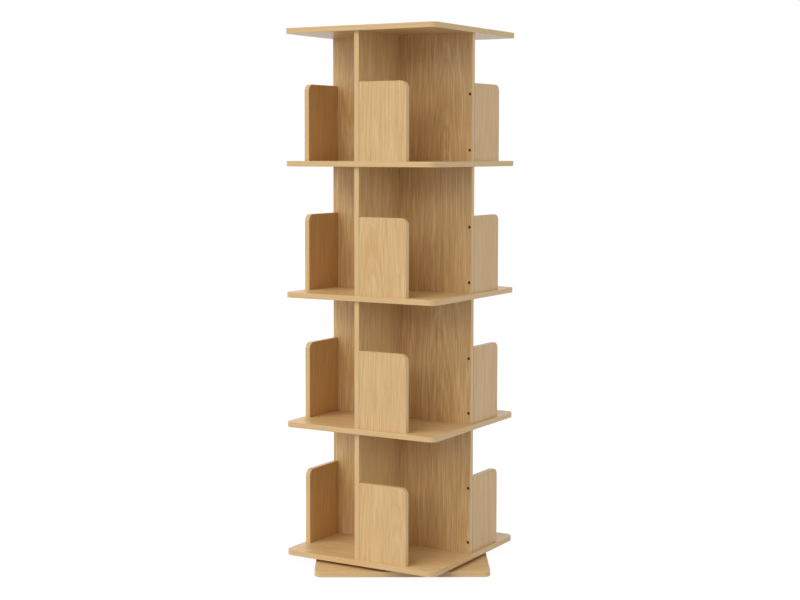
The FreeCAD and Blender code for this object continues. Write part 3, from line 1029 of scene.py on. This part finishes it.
@dataclass
class BaseBoard:
    """The square board that the tower turns over, and its rubber pads."""

    nodes: dict[str, Piece]
    laminate: OakLaminate
    turn: float = 31.0
    cut: Cut = Cut(260.0, 70.0, 0.01)

    def build(self) -> None:
        """Dresses the board and its pads."""
        board = self.laminate.board("base_board", Lie.FLAT, self.turn, self.cut)
        dress(self.nodes["base_board"], board)
        dress(self.nodes["floor_pads"], PadRubber().material())
        LOG.info("base_board and floor_pads dressed")


@dataclass
class Turntable:
    """The flat bearing: two pressed plates, balls in a cage, a hollow rivet and eight screws."""

    nodes: dict[str, Piece]
    screw: CrossScrew = CrossScrew()

    def build(self) -> None:
        """Dresses the bearing and rebuilds its screws."""
        sheet, bronze = ZincPlatedSheet().material(), BronzePlatedSteel().material()
        for name in ("bearing_lower_plate", "bearing_upper_plate", "bearing_rivet"):
            dress(self.nodes[name], sheet)
        dress(self.nodes["bearing_balls"], PolishedBallSteel().material())
        dress(self.nodes["bearing_cage"], MouldedPolyamide().material())
        LOG.info("bearing dressed")
        shape = self.screw.shape()
        refit(self.nodes["bearing_lower_screws"], shape, "base", bronze)
        refit(self.nodes["bearing_upper_screws"], shape, "tower", bronze)


@dataclass
class Shelves:
    """The four shelves and the top board, and the range that their cuts are drawn from."""

    nodes: dict[str, Piece]
    laminate: OakLaminate
    pith_aside: tuple[float, float] = (180.0, 360.0)
    pith_below: tuple[float, float] = (40.0, 110.0)
    taper: tuple[float, float] = (-0.02, 0.02)

    def build(self) -> None:
        """Dresses each shelf in its own cut of the print."""
        for name in SHELVES:
            draw = random.Random(f"cut of {name}")
            ranges = (self.pith_aside, self.pith_below, self.taper)
            cut = Cut(*(draw.uniform(*limits) for limits in ranges))
            dress(self.nodes[name], self.laminate.board(name, Lie.FLAT, 0.0, cut))
            LOG.info("%s dressed", name)


@dataclass
class Tier:
    """One tier: four uprights in a pinwheel, a bookend at the end of each, screws and dowels.

    The cuts of its straight-grained boards are drawn from a range, and the pith is at either side.
    """

    name: str
    nodes: dict[str, Piece]
    laminate: OakLaminate
    bronze: Material
    beech: Material
    screw: SocketScrew = SocketScrew()
    dowel: FlutedDowel = FlutedDowel()
    pith_aside: tuple[float, float] = (160.0, 420.0)
    pith_below: tuple[float, float] = (30.0, 120.0)
    taper: tuple[float, float] = (-0.02, 0.02)
    upright_contrast: float = 1.15
    bookend_contrast: float = 0.7

    def lie_of(self, side: str, kind: str) -> Lie:
        """Tells how an upright or bookend lies: neighbours face different ways."""
        runs_sideways = SIDES.index(side) % 2 == 0
        return Lie.FACING_FRONT if runs_sideways == (kind == "upright") else Lie.FACING_SIDE

    def cut_of(self, name: str) -> Cut:
        """Picks a board's cut: straight grain, apart from the boards with arches.

        Args:
            name: The board's node.

        Returns:
            The cut.
        """
        if name in FIGURED:
            return FIGURED[name]
        draw = random.Random(f"cut of {name}")
        aside = draw.choice((-1, 1)) * draw.uniform(*self.pith_aside)
        contrast = self.upright_contrast if name.endswith("upright") else self.bookend_contrast
        return Cut(aside, draw.uniform(*self.pith_below), draw.uniform(*self.taper), contrast)

    def joint_of(self, name: str, side: str) -> float:
        """Finds where a bookend butts against its upright, which is where its painted joint shadow runs.

        Args:
            name: The board's node.
            side: The side of the tower that the board is at.

        Returns:
            Where the painted joint shadow runs, across from the board's middle. An upright has none.
        """
        if name.endswith("upright"):
            return NO_JOINT
        low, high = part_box(name)
        half = max(high.x - low.x, high.y - low.y) / 2 / MM
        return half if side in ("right", "back") else -half

    def build(self) -> None:
        """Dresses the tier's boards and rebuilds its fasteners."""
        for side in SIDES:
            for kind in ("upright", "bookend"):
                name = f"{self.name}_{side}_{kind}"
                cut, joint = self.cut_of(name), self.joint_of(name, side)
                board = self.laminate.board(name, self.lie_of(side, kind), 0.0, cut, joint)
                dress(self.nodes[name], board)
                LOG.info("%s dressed", name)
        screw, dowel = self.screw.shape(), self.dowel.shape()
        for kind in ("bookend_screws", "upright_screws"):
            node = self.nodes[f"{self.name}_{kind}"]
            refit(node, screw, "tower", self.bronze)
        refit(self.nodes[f"{self.name}_dowels"], dowel, "tower", self.beech)


@dataclass(frozen=True)
class Lamp:
    """A soft lamp so far away that its light is the same at every height.

    The azimuth is in degrees from the front towards the right, and the elevation and the width
    that the lamp fills are in degrees too. The strength is in watts a square metre. The distance
    is in metres and only places the lamp: its light is the same from anywhere.
    """

    name: str
    azimuth: float
    elevation: float
    width: float
    strength: float
    distance: float = 3.0

    def hang(self) -> None:
        """Hangs the lamp."""
        data = bpy.data.lights.new(self.name, "SUN")
        data.angle = math.radians(self.width)
        data.energy = self.strength
        lamp = bpy.data.objects.new(self.name, data)
        turn, rise = math.radians(self.azimuth), math.radians(self.elevation)
        flat = math.cos(rise)
        away = Vector((math.sin(turn) * flat, -math.cos(turn) * flat, math.sin(rise)))
        lamp.location = away * self.distance
        lamp.rotation_euler = away.to_track_quat("Z", "Y").to_euler()
        # Mirrored in the satin boards at a glancing angle, a lamp would burn their colour out.
        lamp.visible_glossy = False
        bpy.context.scene.collection.objects.link(lamp)
        LOG.info("%s hung", self.name)


@dataclass
class Studio:
    """A white studio: pale floor, white surround and soft lamps.

    The camera's place is in millimetres and its angles are in degrees. The size of the floor and
    how far the camera sees are in metres. The fill is how strongly the surround lights.
    """

    distance: float = 4451.86
    height: float = 1184.2
    aside: float = -5.32
    yaw: float = 30.356
    pitch: float = -4.454
    roll: float = 0.078
    focal_pixels: float = 1544.86
    principal_row: float = 270.0
    picture: tuple[int, int] = (800, 600)
    sensor: float = 36.0
    sight: float = 60.0
    fill: float = 0.45
    floor_half: float = 20.0
    floor_paint: str = "#BCBCBC"
    floor_shade: str = "#595959"
    floor_glow: float = 0.95
    lamps: tuple[Lamp, ...] = (
        Lamp("left_front_lamp", -40.0, 35.0, 35.0, 0.62),
        Lamp("high_front_lamp", -20.0, 60.0, 35.0, 0.96),
        Lamp("wide_front_lamp", 0.0, 30.0, 35.0, 0.43),
        Lamp("front_lamp", 0.0, 20.0, 12.0, 0.18),
        Lamp("low_left_lamp", -30.0, 8.0, 12.0, 0.14),
        Lamp("right_lamp", 95.0, 20.0, 35.0, 0.53),
        Lamp("back_left_lamp", -150.0, 35.0, 35.0, 0.55),
    )

    def place_camera(self) -> None:
        """Puts the camera at the viewing angle, with the vertical shift that frames the bookcase."""
        width, rows = self.picture
        data = bpy.data.cameras.new("camera")
        data.sensor_width = self.sensor
        data.lens = self.focal_pixels * self.sensor / width
        data.shift_y = (self.principal_row - rows / 2) / width
        data.clip_end = self.sight
        camera = bpy.data.objects.new("camera", data)
        yaw = math.radians(self.yaw)
        x = math.sin(yaw) * self.distance + math.cos(yaw) * self.aside
        y = -math.cos(yaw) * self.distance + math.sin(yaw) * self.aside
        camera.location = Vector((x, y, self.height)) * MM
        level = Euler((math.radians(90 + self.pitch), 0, yaw)).to_matrix()
        roll = Matrix.Rotation(math.radians(self.roll), 3, "Z")
        camera.rotation_euler = (level @ roll).to_euler()
        bpy.context.scene.collection.objects.link(camera)
        bpy.context.scene.camera = camera
        LOG.info("camera placed")

    def seen_directly(self, tree: Tree) -> Socket:
        """Adds nodes that tell what the eye sees, straight or mirrored, from what lights an object.

        Args:
            tree: The node tree that takes them.

        Returns:
            A value that is 1 for what the eye sees and 0 for lighting.
        """
        path = add_node(tree, "LightPath").outputs
        seen = path["Is Camera Ray"]
        for kind in ("Is Glossy Ray", "Is Transmission Ray"):
            seen = add_node(tree, "Math", {0: seen, 1: path[kind]}, operation="MAXIMUM").outputs[0]
        straight = add_node(tree, "Math", {0: path["Diffuse Depth"], 1: 0.5}, operation="LESS_THAN")
        return add_node(tree, "Math", {0: seen, 1: straight.outputs[0]}, operation="MULTIPLY").outputs[0]

    def surround(self) -> None:
        """Makes a world that is white to look at and in reflections, and lights the object softly."""
        world = bpy.data.worlds.new("white_surround")
        bpy.context.scene.world = world
        world.use_nodes = True
        tree = world.node_tree
        tree.nodes.clear()
        seen = self.seen_directly(tree)
        strength = add_node(tree, "MapRange", {0: seen, 3: self.fill, 4: 1.0}).outputs[0]
        shine = add_node(tree, "Background", {"Color": hex_colour(WHITE), "Strength": strength})
        add_node(tree, "OutputWorld", {0: shine.outputs[0]})

    def floor(self) -> None:
        """Lays a pale floor that shows white and keeps a light shadow of the bookcase."""
        half = self.floor_half
        corners = [(-half, -half, 0), (half, -half, 0), (half, half, 0), (-half, half, 0)]
        mesh = bpy.data.meshes.new("studio_floor")
        mesh.from_pydata(corners, [], [(0, 1, 2, 3)])
        floor = bpy.data.objects.new("studio_floor", mesh)
        bpy.context.scene.collection.objects.link(floor)
        material, tree = new_material("studio_floor_paint")
        paint = add_node(tree, "BsdfDiffuse", {"Color": hex_colour(self.floor_paint)})
        shade = add_node(tree, "BsdfDiffuse", {"Color": hex_colour(self.floor_shade)})
        glow = add_node(tree, "Emission", {"Color": hex_colour(WHITE), "Strength": self.floor_glow})
        lit = add_node(tree, "AddShader", {0: shade.outputs[0], 1: glow.outputs[0]})
        inputs = {0: self.seen_directly(tree), 1: paint.outputs[0], 2: lit.outputs[0]}
        mix = add_node(tree, "MixShader", inputs)
        add_node(tree, "OutputMaterial", {0: mix.outputs[0]})
        dress(floor, material)
        LOG.info("floor laid")

    def build(self) -> None:
        """Builds the camera, lamps, surround and floor, and shows colours as they are written."""
        bpy.context.scene.view_settings.view_transform = "Standard"
        self.place_camera()
        for lamp in self.lamps:
            lamp.hang()
        self.surround()
        self.floor()


def main() -> None:
    """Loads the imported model, dresses it, rebuilds its fasteners and builds the studio."""
    logging.basicConfig(level=logging.INFO, format="%(name)s: %(message)s")
    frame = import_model()
    nodes, laminate = frame["nodes"], OakLaminate()
    BaseBoard(nodes, laminate).build()
    Turntable(nodes).build()
    Shelves(nodes, laminate).build()
    bronze, beech = BronzePlatedSteel().material(), TurnedBeech().material()
    for name in TIERS:
        Tier(name, nodes, laminate, bronze, beech).build()
    Studio().build()


if __name__ == "__main__":
    main()
